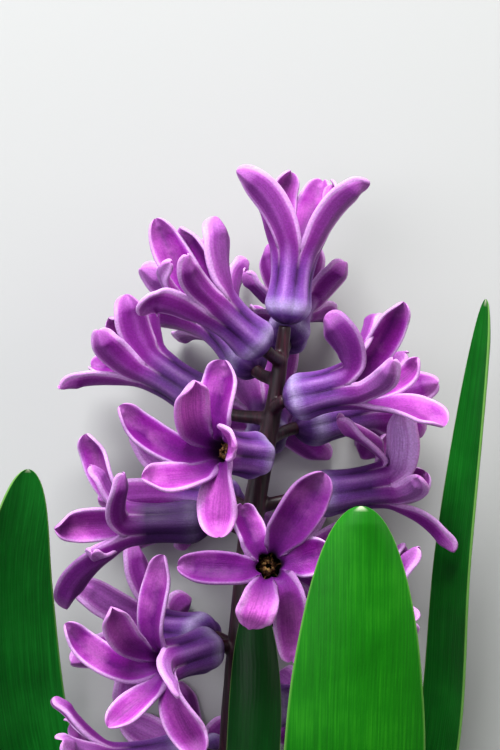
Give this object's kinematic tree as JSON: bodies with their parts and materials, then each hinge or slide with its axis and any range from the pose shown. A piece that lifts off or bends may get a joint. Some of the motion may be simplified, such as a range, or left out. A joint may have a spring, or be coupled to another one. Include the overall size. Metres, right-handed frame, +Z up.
{
  "type": "hyacinth flower",
  "caption": "Picked hyacinth lying down: a loose spike of purple six-lobed tubular florets on a dark fleshy stem, with its strap-shaped green leaves.",
  "frame": {"origin": "middle of the underside of the bounding box, on the surface that the flower lies on", "axes": "+Y along the stem from its cut end to the tip of the flower, +Z up from the surface, +X to the right as seen from above"},
  "size_m": [0.1036, 0.2298, 0.0735],
  "materials": {
    "petal": "fleshy purple petal, satin, paler at the rims",
    "stem": "dark maroon-brown flower stalk, satin",
    "leaf": "smooth green leaf with lengthwise veins, satin"
  },
  "bodies": {
    "root": {"stem": "stem", "floret_top": "petal", "floret_upper_left": "petal", "floret_left": "petal", "floret_centre": "petal", "floret_mid_left": "petal", "floret_low_front": "petal", "floret_low_left": "petal", "floret_upper_right": "petal", "floret_mid_right": "petal", "floret_rear_right": "petal", "floret_crown": "petal", "floret_back_1": "petal", "floret_back_2": "petal", "floret_back_3": "petal", "floret_back_4": "petal", "floret_low_back": "petal", "floret_low_right": "petal", "floret_foot_right": "petal", "floret_foot_left": "petal", "floret_foot_back": "petal", "floret_foot_front": "petal", "leaf_left": "leaf", "leaf_right": "leaf", "leaf_front": "leaf", "leaf_centre": "leaf"}
  },
  "joints": []
}
